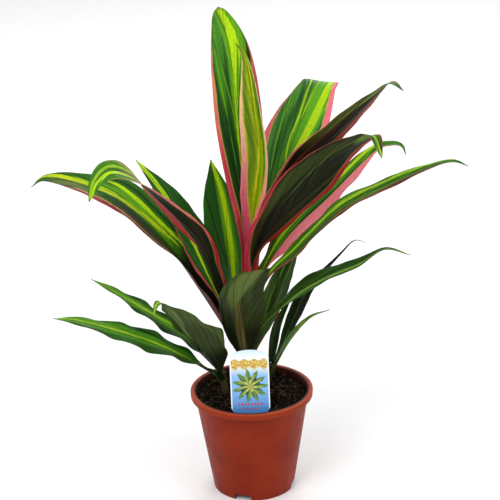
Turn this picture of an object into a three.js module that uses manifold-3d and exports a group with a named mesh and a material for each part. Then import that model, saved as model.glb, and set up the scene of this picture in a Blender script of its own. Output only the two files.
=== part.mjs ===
// A potted Cordyline fruticosa "Kiwi": three rooted canes with striped leaves, potting soil,
// a tapered plastic nursery pot and a plant label. Millimetres, +Z up, the front towards -Y.
// The origin is the middle of the pot's foot, on the surface that the pot stands on.
import * as THREE from "three";
import { mergeVertices } from "three/addons/utils/BufferGeometryUtils.js";
import Module from "manifold-3d";

// Clearance between pieces that touch, and how close two points are welded into one
const GAP = 0.3;
const WELD = 1e-4;

// Pot: a nursery pot 12 cm across its rim
const POT = {
  height: 103,
  sides: 64,
  rimRadius: 60,
  rimDrop: 6,
  rimWall: 1.5,
  rimRounding: 0.8,
  rimTaper: 0.3,
  wall: 1.4,
  wallTopRadius: 56.2,
  footRadius: 39.8,
  footWall: 2,
  floorUnderside: 6.8,
  floorThickness: 1.8,
  bossRadius: 9,
};
const NOTCHES = { height: 6, depth: 12, at: [[-106.5, 16], [-4, 30], [78, 16], [172, 16]] };
const DRAINS = { count: 8, radius: 3.5, ringRadius: 24, sides: 16 };

// Soil
const SOIL = { level: 97.5, sides: 40, rings: [41, 28, 14], bump: 0.9 };

// Canes: the foot and the top as [x, y], the height of the top, and both radii
const CANE_SIDES = 14;
const CANE_FOOT = 52;
const CANE_CHAMFER = 1;
const CANES = {
  main: { foot: [-5, 8], top: [-3, 8], height: 197, radius: 5.2, topRadius: 3.8 },
  left: { foot: [-26, 4], top: [-28, 2], height: 121, radius: 4.2, topRadius: 3.4 },
  right: { foot: [15, 14], top: [19, 14], height: 122, radius: 4.2, topRadius: 3.4 },
};

// Plant label: a card with an arched top on a stake
const LABEL = {
  foot: [-1.1, -46.5],
  bottom: 98.6,
  width: 37,
  height: 66.5,
  arch: 7,
  shoulder: 0.75,
  archSteps: 6,
  chamfer: [3, 6],
  thickness: 0.8,
  stakeWidth: 14,
  stakeDepth: 38,
  leanDegrees: -0.6,
};

// Leaves. Each springs from its cane at the height "joins" in the compass direction "springs"
// (0 is +X, 90 is +Y) and follows its spine of [x, y, z] points to the tip; "heads" is the
// direction that the blade leans to, and the one it springs in where none is given. "rise"
// is how far it climbs before it clears the cane. The lists run at even steps from base to
// tip: "widths" are half-widths, "roll" turns the blade about its midrib and "fold" lifts
// both halves into a channel, in degrees. "tip" shapes the end: the width falls off with
// (1 - t ** first) ** second. "wave" is how high the margins undulate, "waves" how often.
const LEAVES = [
  {
    name: "leaf_tall", cane: "main", joins: 190, heads: 100, springs: 120,
    spine: [[0, 14, 260], [-4, 22, 350], [-11, 30, 430], [-21, 37, 474]],
    widths: [3, 4, 11, 18, 22, 23, 21.5, 17], tip: [9, 0.5],
    roll: [0, 0, 0], fold: [30, 12, 10], wave: 1.2, waves: 4,
  },
  {
    name: "leaf_young", cane: "main", joins: 193, heads: 60, rise: 16, springs: 30,
    spine: [[4, 7, 260], [14, 5, 330], [9, 9, 387], [3, 19, 430], [-6, 26, 442]],
    widths: [3, 3, 8, 17, 20, 20, 18, 14], tip: [4, 1],
    roll: [0, 0, 0], fold: [30, 38, 25],
  },
  {
    name: "leaf_broad_back", cane: "main", joins: 184, heads: 55, springs: 60,
    spine: [[10, 26, 253], [28, 46, 291], [46, 68, 331], [62, 90, 361], [75, 114, 379],
      [77, 136, 364], [73, 152, 324]],
    widths: [3, 4, 17, 31, 36, 29, 23, 14], tip: [5, 1],
    roll: [0, 0, 0], fold: [30, 6, -4], wave: 1.5, waves: 3,
  },
  {
    name: "leaf_upper_right", cane: "main", joins: 178, heads: -30, springs: 0,
    spine: [[12, 0, 255], [24, -13, 296], [50, -37, 342], [89, -63, 388], [114, -77, 417],
      [127, -86, 431], [138, -94, 426]],
    widths: [3, 3, 7, 14, 18, 22, 22, 13], tip: [8, 0.8],
    roll: [0, -15, -25, 0], fold: [30, 10, 8], wave: 1.2, waves: 4,
  },
  {
    name: "leaf_dark_right", cane: "main", joins: 172, heads: -45, springs: -65,
    spine: [[4, -8, 239], [20, -27, 276], [50, -51, 322], [76, -72, 359], [101, -93, 383],
      [112, -102, 388], [118, -110, 371]],
    widths: [3, 4, 11, 19, 26, 26, 22, 18], tip: [8, 0.8],
    roll: [0, -25, -28, -10], fold: [30, 8, 6], wave: 1.5, waves: 4,
  },
  {
    name: "leaf_pink_right", cane: "main", joins: 158, heads: -8,
    spine: [[13, 6, 216], [40, 4, 260], [80, 0, 301], [119, -8, 345], [134, -12, 353],
      [144, -15, 352], [148, -17, 343]],
    widths: [3, 4, 12, 18, 20, 16, 9, 7], tip: [8, 0.8],
    roll: [0, 25, 30, 20], fold: [30, 12, 10], wave: 1.8, waves: 5,
  },
  {
    name: "leaf_long_right", cane: "main", joins: 148, heads: -20, springs: -32,
    spine: [[15, -10, 217], [48, -29, 259], [83, -46, 302], [122, -58, 327], [164, -68, 348],
      [184, -71, 354], [198, -75, 350]],
    widths: [3, 4, 8, 11, 10, 10, 9, 7], tip: [6, 0.8],
    roll: [0, 25, 30, 15], fold: [30, 10, 10], wave: 1, waves: 5,
  },
  {
    name: "leaf_back_right", cane: "main", joins: 118, heads: 45,
    spine: [[6, 16, 142], [20, 31, 168], [34, 46, 198], [48, 61, 226], [58, 72, 244]],
    widths: [3, 5, 11, 15, 16, 14, 10, 6], tip: [4, 1],
    roll: [0, 0, 0], fold: [30, 15, 15],
  },
  {
    name: "leaf_front", cane: "main", joins: 112, heads: -80,
    spine: [[-9, -18, 171], [-8, -44, 206], [0, -69, 238], [20, -92, 265]],
    widths: [3, 6, 17, 24, 27, 25, 20, 14], tip: [4, 0.8],
    roll: [0, -30, -35], fold: [30, 15, 12], wave: 1, waves: 3,
  },
  {
    name: "leaf_long_left", cane: "main", joins: 128, heads: 165,
    spine: [[-23, 12, 160], [-48, 22, 200], [-81, 31, 250], [-116, 43, 286], [-153, 51, 300],
      [-192, 58, 306], [-209, 61, 296]],
    widths: [3, 7, 17, 22, 22, 20, 15, 11], tip: [6, 0.9],
    roll: [0, -10, -30, -30], fold: [45, 42, 12, 8], wave: 1.5, waves: 5,
  },
  {
    name: "leaf_dark_left", cane: "main", joins: 152, heads: 215,
    spine: [[-22, -8, 188], [-34, -26, 243], [-45, -38, 275], [-87, -67, 333], [-104, -78, 352],
      [-120, -87, 359], [-132, -91, 349], [-138, -93, 333]],
    widths: [3, 4, 8, 12, 13, 16, 18, 14], tip: [6, 0.8],
    roll: [0, 8, 22, 26, -20, -50], fold: [30, 10, 8], wave: 1.2, waves: 4,
  },
  {
    name: "leaf_behind_left", cane: "main", joins: 138, heads: 180,
    spine: [[-23, 4, 183], [-36, 3, 218], [-52, 2, 262], [-76, 2, 305], [-102, 5, 339]],
    widths: [3, 4, 13, 19, 21, 19, 14, 10], tip: [6, 0.9],
    roll: [0, -30, -35], fold: [30, 10, 8], wave: 1.5, waves: 3,
  },
  {
    name: "leaf_short_back", cane: "main", joins: 142, heads: 120, springs: 130,
    spine: [[-12, 19, 158], [-20, 29, 222], [-26, 34, 265], [-33, 43, 325]],
    widths: [3, 3.5, 14, 21, 23, 22, 20, 14], tip: [6, 0.9],
    roll: [0, 0, 0], fold: [30, 12, 10], wave: 1, waves: 3,
  },
  {
    name: "leaf_low_right", cane: "main", joins: 122, heads: -5,
    spine: [[9, 4, 161], [40, 2, 196], [69, -1, 217], [106, -3, 233], [130, -5, 247],
      [154, -8, 241]],
    widths: [3, 3, 5, 9, 11, 8, 5, 4], tip: [6, 0.8],
    roll: [0, 20, 20, 10], fold: [30, 12, 10], wave: 1, waves: 4,
  },
  {
    name: "leaf_left_top", cane: "left", joins: 112, heads: 187, springs: 165,
    spine: [[-32, 3, 122], [-60, 1, 154], [-89, -3, 180], [-122, -8, 208], [-149, -13, 228]],
    widths: [3, 3.5, 8, 11, 11, 9, 7, 5], tip: [6, 0.9],
    roll: [0, -25, -25], fold: [30, 15, 12], wave: 2, waves: 5,
  },
  {
    name: "leaf_left_front", cane: "left", joins: 108, heads: 230, springs: 245,
    spine: [[-31, -9, 127], [-49, -30, 164], [-66, -48, 198], [-78, -62, 219], [-84, -69, 224],
      [-88, -74, 214]],
    widths: [3, 5, 19, 28, 32, 22, 12, 8], tip: [6, 0.9],
    roll: [0, 5, 5, 0], fold: [30, 20, 10], wave: 2.4, waves: 4,
  },
  {
    name: "leaf_left_low", cane: "left", joins: 103, heads: 200,
    spine: [[-37, -4, 122], [-70, -16, 149], [-110, -29, 174], [-159, -41, 196], [-183, -45, 202]],
    widths: [3, 4, 10, 13, 14, 11, 10, 8], tip: [6, 0.9],
    roll: [0, -30, -25], fold: [30, 8, 6], wave: 2, waves: 5,
  },
  {
    name: "leaf_rear_right", cane: "right", joins: 112, heads: 40, springs: 35,
    spine: [[27, 17, 128], [44, 36, 161], [60, 49, 187], [92, 64, 217], [106, 70, 228],
      [118, 76, 223]],
    widths: [3, 3.5, 7, 9, 6, 3, 2, 2], tip: [4, 1],
    roll: [0, 10, 10], fold: [30, 12, 10],
  },
  {
    name: "leaf_inner_right", cane: "right", joins: 115, heads: 85, springs: 110,
    spine: [[20, 24, 122], [27, 35, 154], [44, 48, 183]],
    widths: [3, 3, 4, 5, 5, 4.5, 4, 3], tip: [4, 1],
    roll: [0, 0, 0], fold: [30, 15, 10],
  },
  {
    name: "leaf_pale_right", cane: "right", joins: 105, heads: -20, springs: -30,
    spine: [[24, 7, 124], [41, -2, 158], [58, -10, 181], [77, -16, 191]],
    widths: [3, 3.5, 6, 8, 7.5, 6, 4, 2], tip: [4, 1],
    roll: [0, 20, 20], fold: [30, 15, 10],
  },
];
const LEAF = {
  rows: 22,
  rowEase: 1.3,
  across: [-1, -0.5, 0, 0.5, 1],
  thickness: 0.8,
  petioleThickness: 2,
  petioleShare: 0.35,
  tipHalfWidth: 0.5,
  rise: 9,
  clearance: 2,
  waveLag: 0.2,
  calmTip: 0.33,
};

const wasm = await Module();
wasm.setup();

const radians = THREE.MathUtils.degToRad;

// Welds a closed mesh into a solid that can be joined and cut.
function solidOf(geometry) {
  const bare = geometry.index ? geometry.toNonIndexed() : geometry.clone();
  bare.deleteAttribute("normal");
  bare.deleteAttribute("uv");
  const merged = mergeVertices(bare, WELD);
  return new wasm.Manifold(
    new wasm.Mesh({
      numProp: 3,
      vertProperties: merged.attributes.position.array,
      triVerts: new Uint32Array(merged.index.array),
    }),
  );
}

function geometryOf(solid) {
  const mesh = solid.getMesh();
  const geometry = new THREE.BufferGeometry();
  geometry.setAttribute("position", new THREE.BufferAttribute(mesh.vertProperties, 3));
  geometry.setIndex(new THREE.BufferAttribute(mesh.triVerts, 1));
  geometry.computeVertexNormals();
  return geometry;
}

// Turns a closed profile of [radius, height] points about the Z axis.
function turned(profile, sides) {
  const points = profile.map(([r, z]) => new THREE.Vector2(r, z));
  return new THREE.LatheGeometry(points, sides).rotateX(Math.PI / 2);
}

// A smooth curve through a list of values at even steps, read at t from 0 to 1.
function along(list, t) {
  const last = list.length - 1;
  const i = Math.min(Math.floor(t * last), last - 1);
  const f = t * last - i;
  const slopeIn = (list[i + 1] - list[Math.max(i - 1, 0)]) / 2;
  const slopeOut = (list[Math.min(i + 2, last)] - list[i]) / 2;
  const ease = f * f * (3 - 2 * f);
  return list[i] * (1 - ease) + list[i + 1] * ease
    + slopeIn * f * (1 - f) ** 2 - slopeOut * f * f * (1 - f);
}

// The middle of a cane at a height; below the soil it runs on in the same line.
function canePoint(cane, height) {
  const t = (height - SOIL.level) / (cane.height - SOIL.level);
  const [x0, y0] = cane.foot;
  const [x1, y1] = cane.top;
  return new THREE.Vector3(x0 + (x1 - x0) * t, y0 + (y1 - y0) * t, height);
}

// A tapered cane, grown by "extra" all round where it serves to cut a clearance.
function caneSolid(cane, extra = 0) {
  const foot = canePoint(cane, CANE_FOOT);
  const top = canePoint(cane, cane.height);
  const length = foot.distanceTo(top);
  const profile = [
    [0, -extra],
    [cane.radius + extra, -extra],
    [cane.topRadius + extra, length - CANE_CHAMFER + extra],
    [cane.topRadius - CANE_CHAMFER + extra, length + extra],
    [0, length + extra],
  ];
  const lean = new THREE.Quaternion().setFromUnitVectors(
    new THREE.Vector3(0, 0, 1),
    top.clone().sub(foot).normalize(),
  );
  const body = turned(profile, CANE_SIDES).applyQuaternion(lean);
  return solidOf(body.translate(foot.x, foot.y, foot.z));
}

// A leaf's midrib: out of the cane, clear of it, then through the leaf's own points.
function leafSpine(leaf) {
  const cane = CANES[leaf.cane];
  const base = radians(leaf.springs ?? leaf.heads);
  const start = canePoint(cane, leaf.joins);
  const clear = cane.radius + LEAF.clearance;
  const exit = start.clone().add(
    new THREE.Vector3(Math.cos(base) * clear, Math.sin(base) * clear, leaf.rise ?? LEAF.rise),
  );
  const points = [start, exit, ...leaf.spine.map((p) => new THREE.Vector3(...p))];
  return new THREE.CatmullRomCurve3(points, false, "catmullrom", 0.5);
}

// The points across a leaf at t, on its upper and on its lower face.
function leafRow(leaf, curve, t) {
  const heading = radians(leaf.heads);
  const centre = curve.getPointAt(t);
  const forward = curve.getTangentAt(t);
  const side = new THREE.Vector3(-Math.sin(heading), Math.cos(heading), 0);
  side.addScaledVector(forward, -side.dot(forward)).normalize();
  side.applyAxisAngle(forward, radians(along(leaf.roll, t)));
  const up = forward.clone().cross(side);
  const [fullness, point] = leaf.tip;
  const tipped = along(leaf.widths, t) * (1 - t ** fullness) ** point;
  const halfWidth = Math.max(tipped, LEAF.tipHalfWidth);
  const fold = radians(along(leaf.fold, t));
  const stalk = Math.max(1 - t / LEAF.petioleShare, 0);
  const swing = (leaf.wave ?? 0) * Math.min((1 - t) / LEAF.calmTip, 1);
  const upper = [];
  const lower = [];
  for (const across of LEAF.across) {
    const share = Math.abs(across);
    const hand = Math.sign(across);
    const phase = 2 * Math.PI * ((leaf.waves ?? 0) * t + across * LEAF.waveLag);
    const lift = halfWidth * share * Math.sin(fold) + swing * share ** 2 * Math.sin(phase);
    const middle = centre
      .clone()
      .addScaledVector(side, halfWidth * across * Math.cos(fold))
      .addScaledVector(up, lift);
    const outward = up
      .clone()
      .multiplyScalar(Math.cos(fold))
      .addScaledVector(side, -Math.sin(fold) * hand);
    const extra = (LEAF.petioleThickness - LEAF.thickness) * stalk * (1 - share);
    const half = (LEAF.thickness + extra) / 2;
    upper.push(middle.clone().addScaledVector(outward, half));
    lower.push(middle.clone().addScaledVector(outward, -half));
  }
  return { upper, lower };
}

// A blade between its rows of points, cut clear of its cane.
function leafSolid(leaf) {
  const curve = leafSpine(leaf);
  const vertices = [];
  const triangles = [];
  const columns = LEAF.across.length;
  const rows = LEAF.rows;
  const last = columns - 1;
  for (let row = 0; row <= rows; row++) {
    const t = 1 - (1 - row / rows) ** LEAF.rowEase;
    const { upper, lower } = leafRow(leaf, curve, t);
    for (const point of [...upper, ...lower]) vertices.push(...point.toArray());
  }
  const at = (row, column, face) => (row * 2 + face) * columns + column;
  const quad = (a, b, c, d) => triangles.push(a, b, c, a, c, d);
  for (let row = 0; row < rows; row++) {
    for (let column = 0; column < last; column++) {
      const corners = [
        [row, column],
        [row + 1, column],
        [row + 1, column + 1],
        [row, column + 1],
      ];
      if (column >= last / 2) corners.push(corners.shift());
      const top = corners.map(([r, c]) => at(r, c, 0));
      const bottom = corners.map(([r, c]) => at(r, c, 1));
      triangles.push(top[0], top[1], top[2], top[0], top[2], top[3]);
      triangles.push(bottom[0], bottom[2], bottom[1], bottom[0], bottom[3], bottom[2]);
    }
    quad(at(row, 0, 0), at(row, 0, 1), at(row + 1, 0, 1), at(row + 1, 0, 0));
    quad(at(row, last, 1), at(row, last, 0), at(row + 1, last, 0), at(row + 1, last, 1));
  }
  for (let column = 0; column < last; column++) {
    quad(at(0, column, 0), at(0, column + 1, 0), at(0, column + 1, 1), at(0, column, 1));
    const [near, far] = [column, column + 1];
    quad(at(rows, near, 1), at(rows, far, 1), at(rows, far, 0), at(rows, near, 0));
  }
  const geometry = new THREE.BufferGeometry();
  geometry.setAttribute("position", new THREE.Float32BufferAttribute(vertices, 3));
  geometry.setIndex(triangles);
  const whole = solidOf(geometry).subtract(caneSolid(CANES[leaf.cane], GAP));
  const parts = whole.decompose();
  return parts.reduce((a, b) => (b.volume() > a.volume() ? b : a));
}

// The radius of the pot's outer wall at a height.
function wallRadius(z) {
  return POT.footRadius + ((POT.wallTopRadius - POT.footRadius) * z) / POT.height;
}

// Wall, rolled rim, raised floor with drainage holes, and feet between the notches.
function potSolid() {
  const { height, rimRadius, rimWall, rimDrop, rimRounding, wall, footWall } = POT;
  const floorTop = POT.floorUnderside + POT.floorThickness;
  const underRim = height - rimWall;
  const profile = [
    [0, 0],
    [POT.bossRadius, 0],
    [POT.bossRadius, POT.floorUnderside],
    [POT.footRadius - footWall, POT.floorUnderside],
    [POT.footRadius - footWall, 0],
    [POT.footRadius, 0],
    [wallRadius(underRim), underRim],
    [rimRadius - rimWall, underRim],
    [rimRadius - rimWall - POT.rimTaper, height - rimDrop],
    [rimRadius - POT.rimTaper, height - rimDrop],
    [rimRadius, height - rimRounding],
    [rimRadius - rimRounding, height],
    [wallRadius(height) - wall + rimRounding, height],
    [wallRadius(height) - wall, height - rimRounding],
    [wallRadius(floorTop) - wall, floorTop],
    [0, floorTop],
  ];
  let pot = solidOf(turned(profile, POT.sides));
  for (const [degrees, width] of NOTCHES.at) {
    const notch = new THREE.BoxGeometry(NOTCHES.depth, width, NOTCHES.height * 2)
      .translate(POT.footRadius, 0, 0)
      .rotateZ(radians(degrees));
    pot = pot.subtract(solidOf(notch));
  }
  for (let i = 0; i < DRAINS.count; i++) {
    const angle = ((i + 0.5) / DRAINS.count) * 2 * Math.PI;
    const drain = new THREE.CylinderGeometry(
      DRAINS.radius, DRAINS.radius, POT.height / 2, DRAINS.sides,
    )
      .rotateX(Math.PI / 2)
      .translate(Math.cos(angle) * DRAINS.ringRadius, Math.sin(angle) * DRAINS.ringRadius, 0);
    pot = pot.subtract(solidOf(drain));
  }
  return pot;
}

// A plug that fills the pot, its top rising and falling a little, with the canes' holes.
function soilSolid() {
  const floorTop = POT.floorUnderside + POT.floorThickness + GAP;
  const edge = (z) => wallRadius(z) - POT.wall - GAP;
  const profile = [
    [0, floorTop],
    [edge(floorTop), floorTop],
    [edge(SOIL.level), SOIL.level],
    ...SOIL.rings.map((radius) => [radius, SOIL.level]),
    [0, SOIL.level],
  ];
  const plug = turned(profile, SOIL.sides);
  const position = plug.attributes.position;
  for (let i = 0; i < position.count; i++) {
    const radius = Math.hypot(position.getX(i), position.getY(i));
    if (position.getZ(i) < SOIL.level || radius > SOIL.rings[0] + GAP) continue;
    const angle = Math.atan2(position.getY(i), position.getX(i));
    const swell = Math.sin(3 * angle + radius) + Math.cos(7 * angle - radius);
    position.setZ(i, SOIL.level + (radius < GAP ? 0 : SOIL.bump * swell));
  }
  let soil = solidOf(plug);
  for (const cane of Object.values(CANES)) soil = soil.subtract(caneSolid(cane, GAP));
  return soil.subtract(labelSolid(GAP));
}

// The label faces -Y and leans a little to one side; "extra" grows it for its slot.
function labelSolid(extra = 0) {
  const { width, height, arch, shoulder, chamfer, thickness, stakeWidth, stakeDepth } = LABEL;
  const half = width / 2 + extra;
  const stake = stakeWidth / 2 + extra;
  const [chamferX, chamferZ] = chamfer;
  const outline = new THREE.Shape();
  outline.moveTo(0, -stakeDepth - extra * 2);
  outline.lineTo(stake, -stakeDepth + stake);
  outline.lineTo(stake, -extra);
  outline.lineTo(half - chamferX, -extra);
  outline.lineTo(half, chamferZ);
  outline.lineTo(half, height - arch + extra);
  outline.quadraticCurveTo(half * shoulder, height + extra, 0, height + extra);
  outline.quadraticCurveTo(-half * shoulder, height + extra, -half, height - arch + extra);
  outline.lineTo(-half, chamferZ);
  outline.lineTo(-half + chamferX, -extra);
  outline.lineTo(-stake, -extra);
  outline.lineTo(-stake, -stakeDepth + stake);
  const depth = thickness + extra * 2;
  const card = new THREE.ExtrudeGeometry(outline, {
    depth,
    bevelEnabled: false,
    curveSegments: LABEL.archSteps,
  })
    .translate(0, 0, -depth / 2)
    .rotateX(Math.PI / 2)
    .rotateY(radians(LABEL.leanDegrees))
    .translate(LABEL.foot[0], LABEL.foot[1], LABEL.bottom);
  return solidOf(card);
}

// Plain base colours
const FINISHES = {
  pot: { color: 0x9a3d26, roughness: 0.5, metalness: 0 },
  soil: { color: 0x2a201a, roughness: 1, metalness: 0 },
  cane: { color: 0x6f6a4a, roughness: 0.8, metalness: 0 },
  leaf: { color: 0x3f8a2c, roughness: 0.4, metalness: 0 },
  label: { color: 0x9cc4e8, roughness: 0.35, metalness: 0 },
};

const plant = new THREE.Group();
plant.name = "potted_kiwi_cordyline";

function add(name, solid, finish) {
  const mesh = new THREE.Mesh(
    geometryOf(solid),
    new THREE.MeshStandardMaterial(FINISHES[finish]),
  );
  mesh.name = name;
  plant.add(mesh);
}

add("pot", potSolid(), "pot");
add("soil", soilSolid(), "soil");
for (const [name, cane] of Object.entries(CANES)) add(`cane_${name}`, caneSolid(cane), "cane");
for (const leaf of LEAVES) add(leaf.name, leafSolid(leaf), "leaf");
add("label", labelSolid(), "label");

export default plant;
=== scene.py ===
"""A potted Cordyline fruticosa "Kiwi" in its nursery pot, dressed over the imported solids.

The leaves, canes, soil, pot and label follow the same driving dimensions as the solids that
they stand for. Lengths are in millimetres in the tables below and become metres in build().
"""
import math
from types import SimpleNamespace as Values

import bmesh
import bpy
import numpy as np
from mathutils import Euler, Matrix, Vector, noise


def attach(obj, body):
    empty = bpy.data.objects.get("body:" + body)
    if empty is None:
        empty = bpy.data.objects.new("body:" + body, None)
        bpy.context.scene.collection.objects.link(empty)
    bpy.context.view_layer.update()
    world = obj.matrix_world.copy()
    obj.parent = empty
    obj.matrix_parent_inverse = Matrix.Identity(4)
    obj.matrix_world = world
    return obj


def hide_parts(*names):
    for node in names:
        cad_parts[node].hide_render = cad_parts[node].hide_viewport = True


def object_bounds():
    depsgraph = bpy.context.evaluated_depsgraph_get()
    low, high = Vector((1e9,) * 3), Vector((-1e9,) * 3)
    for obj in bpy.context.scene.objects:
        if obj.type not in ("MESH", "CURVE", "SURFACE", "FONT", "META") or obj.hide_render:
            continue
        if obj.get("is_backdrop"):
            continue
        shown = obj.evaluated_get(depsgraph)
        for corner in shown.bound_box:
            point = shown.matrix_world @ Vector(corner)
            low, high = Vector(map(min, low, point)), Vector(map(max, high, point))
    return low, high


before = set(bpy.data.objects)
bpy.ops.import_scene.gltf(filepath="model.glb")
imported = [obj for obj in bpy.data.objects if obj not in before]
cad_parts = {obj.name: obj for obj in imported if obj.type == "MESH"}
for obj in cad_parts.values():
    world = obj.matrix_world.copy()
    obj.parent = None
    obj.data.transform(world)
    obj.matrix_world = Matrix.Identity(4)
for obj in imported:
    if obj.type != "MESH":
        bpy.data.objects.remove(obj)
solid_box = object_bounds()

MM = 0.001
TURN = 2 * math.pi
rng = np.random.default_rng(12)
link = bpy.context.scene.collection.objects.link

# Driving dimensions, in millimetres; most are shared with the solids
GAP = 0.3
POT = Values(
    height=103, rim_radius=60, rim_drop=6, rim_wall=1.5, wall=1.4,
    wall_top_radius=56.2, foot_radius=39.8, foot_wall=2, floor_underside=6.8,
    floor_thickness=1.8, boss_radius=9, rim_taper=0.3,
)
NOTCHES = Values(height=6, depth=12, at=[(-106.5, 16), (-4, 30), (78, 16), (172, 16)])
DRAINS = Values(count=8, radius=3.5, ring_radius=24, span=(2, 14))
SOIL_LEVEL = 97.5
CANE_FOOT = 52
CANES = {
    "main": Values(foot=(-5, 8), top=(-3, 8), height=197, radius=5.2, top_radius=3.8),
    "left": Values(foot=(-26, 4), top=(-28, 2), height=121, radius=4.2, top_radius=3.4),
    "right": Values(foot=(15, 14), top=(19, 14), height=122, radius=4.2, top_radius=3.4),
}
LABEL = Values(
    foot=(-1.1, -46.5), bottom=98.6, width=37, height=66.5, arch=7,
    shoulder=0.75, chamfer=(3, 6), thickness=0.8, stake_width=14,
    stake_depth=38, lean=-0.6,
)
CRUMBS = Values(count=1500, reach=52, small=0.5, large=2.6)
FIBRES = Values(count=60, reach=44, limit=50, steps=22)
LEAF = Values(
    thickness=0.7, petiole_thickness=2, petiole_share=0.35, tip_half_width=0.5,
    clearance=2, wave_lag=0.2, calm_tip=0.33, start=0.012, row=2.6,
    columns=(8, 26), flutter=0.3, flutters=11, vein_slope=0.16,
    vein_offset=400, vein_spacing=1.5,
)

# Sides and rings of the turned pieces
FINENESS = Values(pot=192, hole=32, soil=180, soil_rings=70, cane=48)
# How far the margins turn to red on the lower faces of the leaves
UNDER_DULL = 0.3
# The depth in mm that stands for a point outside every band, or without a margin
OUTSIDE = -9.0


def linear(colour):
    """A colour given as 0 to 255 in sRGB, in the linear values that shaders take."""
    scaled = np.array(colour) / 255
    values = np.where(scaled <= 0.04045, scaled / 12.92, ((scaled + 0.055) / 1.055) ** 2.4)
    return np.array([*values, 1.0])


# Leaf colours, as 0 to 255 in sRGB, as every colour here
DEEP = (18, 60, 14)
MID = (50, 114, 20)
FRESH = (102, 166, 20)
LIME = (178, 220, 12)
YELLOW = (206, 212, 34)
OLIVE = (104, 122, 26)
SAGE = (140, 142, 74)
CREAM = (232, 188, 140)
CORAL = (228, 126, 106)
SALMON = (228, 122, 130)
PINK = (242, 116, 132)
BLUSH = (252, 134, 146)
ROSE = (206, 52, 78)
MAGENTA = (204, 66, 104)
PLUM = (150, 40, 70)
WINE = (112, 26, 40)
RED = (152, 20, 36)
RED_BROWN = (128, 52, 34)
MAROON = (88, 16, 26)
# Lower faces: dark with painted shade, as well as their own colour
UNDER = (40, 50, 24)
UNDER_GREEN = (68, 78, 38)
DRY = (92, 66, 40)


# Leaves: the same spines and lists as the solids, with their markings. "wash" areas and
# sharper "bands" are (shade, from, to, places across, widths in mm), their lists at even
# steps; across runs from -1 to 1, and 1 is the margin to the left of someone who looks along
# the midrib from its base. "left" and "right" are the coloured margins: their widths in mm
# and their colours, both from base to tip. "blade" holds the two greens of the upper face;
# "back", "back_wash" and "back_bands" paint the lower face, dark with painted shade as well
# as its own colour. Some washes are painted light or shade too, as marked.
NO_MARGIN = ([0, 0], [MAROON, MAROON])
LEAVES = []


def grow(name, **features):
    """Lists a leaf. What isn't given is as on most leaves: on the main cane, leaving it the
    way that it heads, not rolled or waved, and without markings or coloured margins."""
    plain = dict(
        cane="main", springs=features["heads"], rise=9, roll=[0, 0], wave=0, waves=0,
        wash=[], bands=[], back=(UNDER, UNDER_GREEN), back_wash=[], back_bands=[],
        left=NO_MARGIN, right=NO_MARGIN,
    )
    LEAVES.append(Values(name="leaf_" + name, **(plain | features)))


grow(
    "tall", joins=190, heads=100, springs=120,
    spine=[(0, 14, 260), (-4, 22, 350), (-11, 30, 430), (-21, 37, 474)],
    widths=[3, 4, 11, 18, 22, 23, 21.5, 17], tip=(9, 0.5), fold=[30, 12, 10], wave=1.2, waves=4,
    blade=((18, 60, 16), (50, 108, 18)),
    wash=[
        ((64, 128, 24), 0.62, 1, [0.5, 0.55, 0.6, 0.62, 0.5], [2, 6, 9, 10, 5]),
        ((110, 178, 16), 0.5, 1, [0.05, 0, -0.12, -0.34, -0.3], [4, 8, 13, 19, 14]),
    ],
    bands=[
        (LIME, 0.45, 1, [0.06, 0.08, 0.03, -0.06, -0.24, -0.2], [1.5, 2, 2.6, 3.6, 6, 5]),
        (LIME, 0.78, 1, [-0.3, -0.5, -0.4], [1.6, 3, 2]),
        (FRESH, 0.5, 0.95, [0.1, 0.12, 0.3, 0.55, 0.8], [0.8, 1.1, 1.4, 1.4, 1]),
        (FRESH, 0.4, 0.93, [0.3, 0.4, 0.6, 0.85], [0.6, 0.9, 1, 0.7]),
    ],
    left=([2, 3, 5, 5, 4.5, 3.2, 2.4, 1, 0], [ROSE, ROSE, ROSE, CORAL, SAGE]),
    right=([2, 3, 5, 5, 4, 2, 3.4, 0.4, 0], [ROSE, ROSE, CORAL]),
)
grow(
    "young", joins=193, heads=60, rise=16, springs=30,
    spine=[(4, 7, 260), (14, 5, 330), (9, 9, 387), (3, 19, 430), (-6, 26, 442)],
    widths=[3, 3, 8, 17, 20, 20, 18, 14], tip=(4, 1), fold=[30, 38, 25],
    blade=((138, 164, 6), (184, 206, 20)),
    wash=[
        ((92, 120, 8), 0.35, 1, [0.48, 0.45, 0.45, 0.6, 0.8], [8, 7, 6, 4, 3]),
        ((66, 126, 16), 0.35, 0.95, [-0.75, -0.75, -0.78, -0.8], [8, 8, 7, 5]),
    ],
    bands=[
        (YELLOW, 0.4, 0.98, [0.2, 0.1, -0.1, -0.3, -0.1], [2, 2.4, 2.4, 2, 1.4]),
        ((70, 100, 12), 0.35, 0.9, [-0.5, -0.5, -0.55, -0.6], [1.2, 1.6, 1.4, 1]),
    ],
    left=([3, 5, 8, 7, 5.6, 4.6, 2.8, 1, 0], [ROSE, MAGENTA, SALMON, CREAM, CREAM]),
    right=([3, 5, 9, 9, 6, 3.4, 1.5, 0.5, 0], [ROSE, PINK, CREAM, CREAM]),
)
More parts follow.
